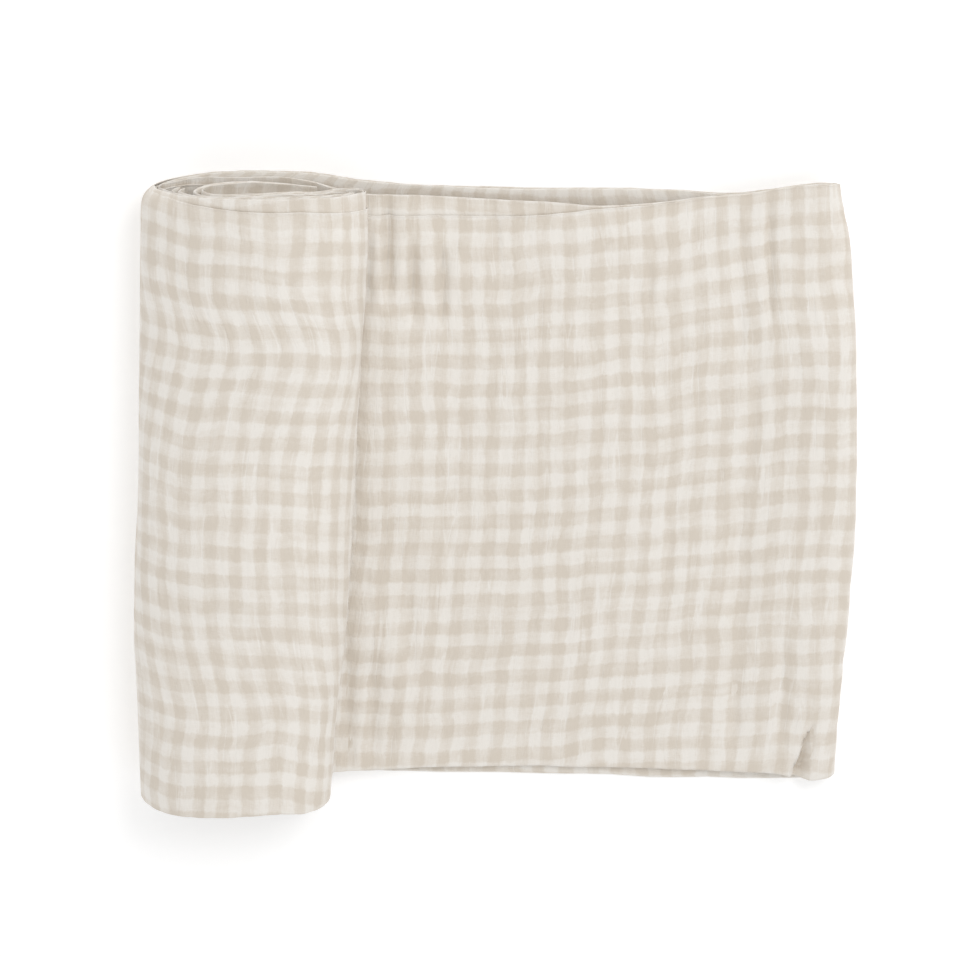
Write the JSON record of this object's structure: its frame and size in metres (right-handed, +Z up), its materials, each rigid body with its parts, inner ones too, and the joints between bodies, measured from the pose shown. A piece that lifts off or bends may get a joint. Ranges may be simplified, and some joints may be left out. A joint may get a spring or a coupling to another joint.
{
  "type": "swaddle blanket",
  "caption": "Light cotton gauze baby wrap in a pale gingham check, folded into a long band, doubled end to end and half rolled up. It lies flat, with the rolled end beside a flat tail.",
  "frame": {"origin": "centre of the bounding box's underside, on the surface that the blanket lies on", "axes": "+X from the roll towards the end fold of the flat tail; +Y along the roll's axis, towards the side where the plies' edges are open; +Z up"},
  "size_m": [0.347, 0.3054, 0.0595],
  "materials": {
    "cotton": "matt crinkled double gauze, woven in a cream and beige gingham check"
  },
  "bodies": {
    "root": {"blanket": "cotton"}
  },
  "joints": []
}
